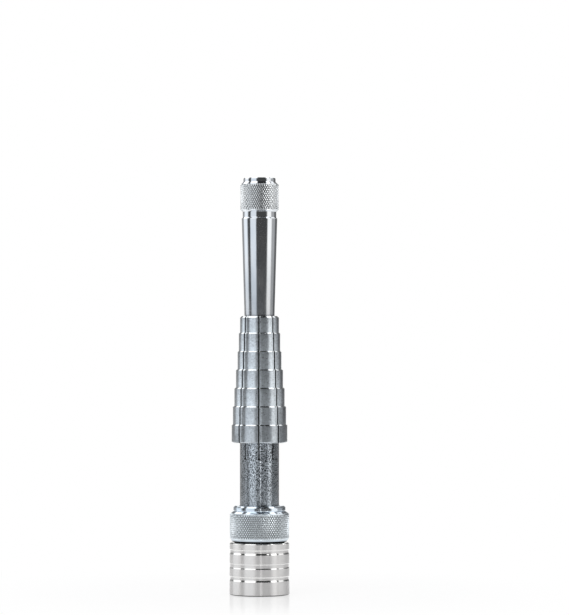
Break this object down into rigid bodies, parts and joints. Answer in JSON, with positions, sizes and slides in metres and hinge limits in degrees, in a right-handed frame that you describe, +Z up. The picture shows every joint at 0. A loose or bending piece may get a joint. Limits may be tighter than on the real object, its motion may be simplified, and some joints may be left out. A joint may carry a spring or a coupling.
{
  "type": "ring stretcher",
  "caption": "Upright ring stretcher: a tapered mandrel with a knurled head, driven down by a mallet, spreads a stepped, slit steel sleeve held by a knurled collar in an aluminium foot.",
  "frame": {"origin": "centre of the foot's underside, on the bench", "axes": "+Z up along the tool's axis, the slit that the picture shows in front faces -Y"},
  "size_m": [0.0242, 0.0242, 0.1687],
  "materials": {
    "mandrel_steel": "polished, plated tool steel",
    "sleeve_steel": "satin turned spring steel",
    "shank_steel": "rough, blotched heat-treated steel",
    "collar_steel": "zinc-plated, knurled",
    "base_aluminium": "fine turned satin"
  },
  "bodies": {
    "frame": {"sleeve_shank": "shank_steel", "base": "base_aluminium"},
    "collar": {"knurled_collar": "collar_steel"},
    "mandrel": {"mandrel": "mandrel_steel"},
    "jaw_1": {"jaw_1": "sleeve_steel"},
    "jaw_2": {"jaw_2": "sleeve_steel"},
    "jaw_3": {"jaw_3": "sleeve_steel"},
    "jaw_4": {"jaw_4": "sleeve_steel"},
    "jaw_5": {"jaw_5": "sleeve_steel"},
    "jaw_6": {"jaw_6": "sleeve_steel"},
    "jaw_7": {"jaw_7": "sleeve_steel"},
    "jaw_8": {"jaw_8": "sleeve_steel"}
  },
  "joints": [
    {"name": "mandrel_drive", "type": "slide", "parent": "frame", "child": "mandrel", "axis": [0, 0, -1], "range_m": [0, 0.039]},
    {"name": "collar_turn", "type": "hinge", "parent": "frame", "child": "collar", "pos_m": [0, 0, 0.02852], "axis": [0, 0, 1], "range_deg": [0, 90]},
    {"name": "jaw_1_flex", "type": "hinge", "parent": "frame", "child": "jaw_1", "pos_m": [0.00742, 0.00285, 0.05505], "axis": [-0.3584, 0.9336, 0], "range_deg": [0, 1.12]},
    {"name": "jaw_2_flex", "type": "hinge", "parent": "frame", "child": "jaw_2", "pos_m": [0.00323, 0.00726, 0.05505], "axis": [-0.9135, 0.4067, 0], "range_deg": [0, 1.12]},
    {"name": "jaw_3_flex", "type": "hinge", "parent": "frame", "child": "jaw_3", "pos_m": [-0.00285, 0.00742, 0.05505], "axis": [-0.9336, -0.3584, 0], "range_deg": [0, 1.12]},
    {"name": "jaw_4_flex", "type": "hinge", "parent": "frame", "child": "jaw_4", "pos_m": [-0.00726, 0.00323, 0.05505], "axis": [-0.4067, -0.9135, 0], "range_deg": [0, 1.12]},
    {"name": "jaw_5_flex", "type": "hinge", "parent": "frame", "child": "jaw_5", "pos_m": [-0.00742, -0.00285, 0.05505], "axis": [0.3584, -0.9336, 0], "range_deg": [0, 1.12]},
    {"name": "jaw_6_flex", "type": "hinge", "parent": "frame", "child": "jaw_6", "pos_m": [-0.00323, -0.00726, 0.05505], "axis": [0.9135, -0.4067, 0], "range_deg": [0, 1.12]},
    {"name": "jaw_7_flex", "type": "hinge", "parent": "frame", "child": "jaw_7", "pos_m": [0.00285, -0.00742, 0.05505], "axis": [0.9336, 0.3584, 0], "range_deg": [0, 1.12]},
    {"name": "jaw_8_flex", "type": "hinge", "parent": "frame", "child": "jaw_8", "pos_m": [0.00726, -0.00323, 0.05505], "axis": [0.4067, 0.9135, 0], "range_deg": [0, 1.12]}
  ],
  "couplings": [
    {"joint": "jaw_1_flex", "follows": "mandrel_drive", "rad_per_m": 0.49943},
    {"joint": "jaw_2_flex", "follows": "mandrel_drive", "rad_per_m": 0.49943},
    {"joint": "jaw_3_flex", "follows": "mandrel_drive", "rad_per_m": 0.49943},
    {"joint": "jaw_4_flex", "follows": "mandrel_drive", "rad_per_m": 0.49943},
    {"joint": "jaw_5_flex", "follows": "mandrel_drive", "rad_per_m": 0.49943},
    {"joint": "jaw_6_flex", "follows": "mandrel_drive", "rad_per_m": 0.49943},
    {"joint": "jaw_7_flex", "follows": "mandrel_drive", "rad_per_m": 0.49943},
    {"joint": "jaw_8_flex", "follows": "mandrel_drive", "rad_per_m": 0.49943}
  ]
}
